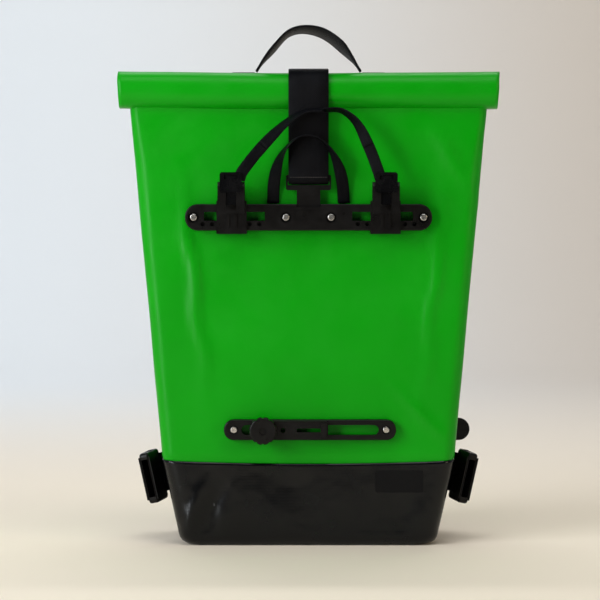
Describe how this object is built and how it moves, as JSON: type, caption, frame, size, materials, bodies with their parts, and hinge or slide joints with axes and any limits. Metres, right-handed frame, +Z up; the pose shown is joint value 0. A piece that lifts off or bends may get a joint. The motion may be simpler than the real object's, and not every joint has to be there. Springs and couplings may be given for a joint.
{
  "type": "bicycle pannier bag",
  "caption": "Roll-top waterproof bicycle pannier bag with a rail and latching hooks for the rack, a lower swivel hook, carry handle, closure strap and side straps.",
  "frame": {"origin": "middle of the space the bag takes up, on the surface it stands on", "axes": "+Z up; +X along the mounting rails; -Y faces the rack and +Y faces the road"},
  "size_m": [0.381, 0.1882, 0.523],
  "materials": {
    "green_tarpaulin": "semi-gloss PVC-coated tarpaulin",
    "black_tarpaulin": "satin PVC-coated tarpaulin",
    "webbing": "woven polyester webbing",
    "patch": "matt coated patch",
    "moulded_plastic": "fine moulded texture",
    "board": "smooth plastic sheet",
    "steel": "stainless"
  },
  "bodies": {
    "bag": {"base_boot": "black_tarpaulin", "back_panel": "green_tarpaulin", "front_panel": "green_tarpaulin", "left_gusset": "green_tarpaulin", "right_gusset": "green_tarpaulin", "back_board": "board", "base_board": "board", "label_patch": "patch", "side_tab": "webbing", "upper_rail": "moulded_plastic", "upper_rail_screws": "steel", "upper_rail_washers": "steel", "upper_rail_nuts": "steel", "lower_rail": "moulded_plastic", "lower_rail_screws": "steel", "lower_rail_washers": "steel", "lower_rail_nuts": "steel", "carry_loop_tails": "webbing", "release_strap": "webbing", "far_strap": "webbing", "far_strap_patch": "patch", "left_side_patch": "patch", "right_side_patch": "patch"},
    "roll": {"roll_top": "green_tarpaulin", "roll_stiffener": "board", "closure_strap": "webbing", "strap_hook": "moulded_plastic", "strap_adjuster": "moulded_plastic", "top_handle_tails": "webbing"},
    "top_handle": {"top_handle": "webbing"},
    "carry_loop": {"carry_loop": "webbing"},
    "left_hook": {"left_hook": "moulded_plastic", "left_latch_pin": "steel", "left_latch_spring": "steel"},
    "right_hook": {"right_hook": "moulded_plastic", "right_latch_pin": "steel", "right_latch_spring": "steel"},
    "left_latch": {"left_latch": "moulded_plastic"},
    "right_latch": {"right_latch": "moulded_plastic"},
    "lower_slider": {"slider_nut": "moulded_plastic", "hook_bolt": "steel"},
    "lower_hook": {"lower_hook_arm": "moulded_plastic", "lower_hook_washer": "steel"},
    "knob": {"knob": "moulded_plastic"},
    "left_buckle": {"left_side_strap": "webbing", "left_side_socket": "moulded_plastic"},
    "right_buckle": {"right_side_strap": "webbing", "right_side_socket": "moulded_plastic"}
  },
  "joints": [
    {"name": "roll_lift", "type": "slide", "parent": "bag", "child": "roll", "axis": [0, 0, 1], "range_m": [0, 0.12]},
    {"name": "top_handle_fold", "type": "hinge", "parent": "roll", "child": "top_handle", "pos_m": [0, -0.04785, 0.4773], "axis": [1, 0, 0], "range_deg": [-50, 50]},
    {"name": "carry_loop_swing", "type": "hinge", "parent": "bag", "child": "carry_loop", "pos_m": [0, -0.05745, 0.34415], "axis": [1, 0, 0], "range_deg": [0, 60]},
    {"name": "left_hook_slide", "type": "slide", "parent": "bag", "child": "left_hook", "axis": [1, 0, 0], "range_m": [-0.0187, 0.0187]},
    {"name": "right_hook_slide", "type": "slide", "parent": "bag", "child": "right_hook", "axis": [1, 0, 0], "range_m": [-0.0187, 0.0187]},
    {"name": "left_latch_open", "type": "hinge", "parent": "left_hook", "child": "left_latch", "pos_m": [-0.0765, -0.08885, 0.3605], "axis": [-1, 0, 0], "range_deg": [0, 45], "stiffness_Nm_per_rad": 0.02},
    {"name": "right_latch_open", "type": "hinge", "parent": "right_hook", "child": "right_latch", "pos_m": [0.0765, -0.08885, 0.3605], "axis": [-1, 0, 0], "range_deg": [0, 45], "stiffness_Nm_per_rad": 0.02},
    {"name": "lower_hook_slide", "type": "slide", "parent": "bag", "child": "lower_slider", "axis": [1, 0, 0], "range_m": [-0.0155, 0.109]},
    {"name": "lower_hook_turn", "type": "hinge", "parent": "lower_slider", "child": "lower_hook", "pos_m": [-0.0454, -0.06785, 0.1175], "axis": [0, 1, 0], "continuous": true},
    {"name": "knob_turn", "type": "hinge", "parent": "lower_slider", "child": "knob", "pos_m": [-0.0454, -0.07385, 0.1175], "axis": [0, 1, 0], "continuous": true},
    {"name": "left_buckle_swing", "type": "hinge", "parent": "bag", "child": "left_buckle", "pos_m": [-0.14603, 0.01415, 0.06839], "axis": [0.2157, 0, -0.9765], "range_deg": [-5, 100]},
    {"name": "right_buckle_swing", "type": "hinge", "parent": "bag", "child": "right_buckle", "pos_m": [0.14603, 0.01415, 0.06839], "axis": [0.2157, 0, 0.9765], "range_deg": [-5, 100]}
  ],
  "couplings": [
    {"joint": "right_latch_open", "follows": "left_latch_open", "ratio": 1}
  ]
}
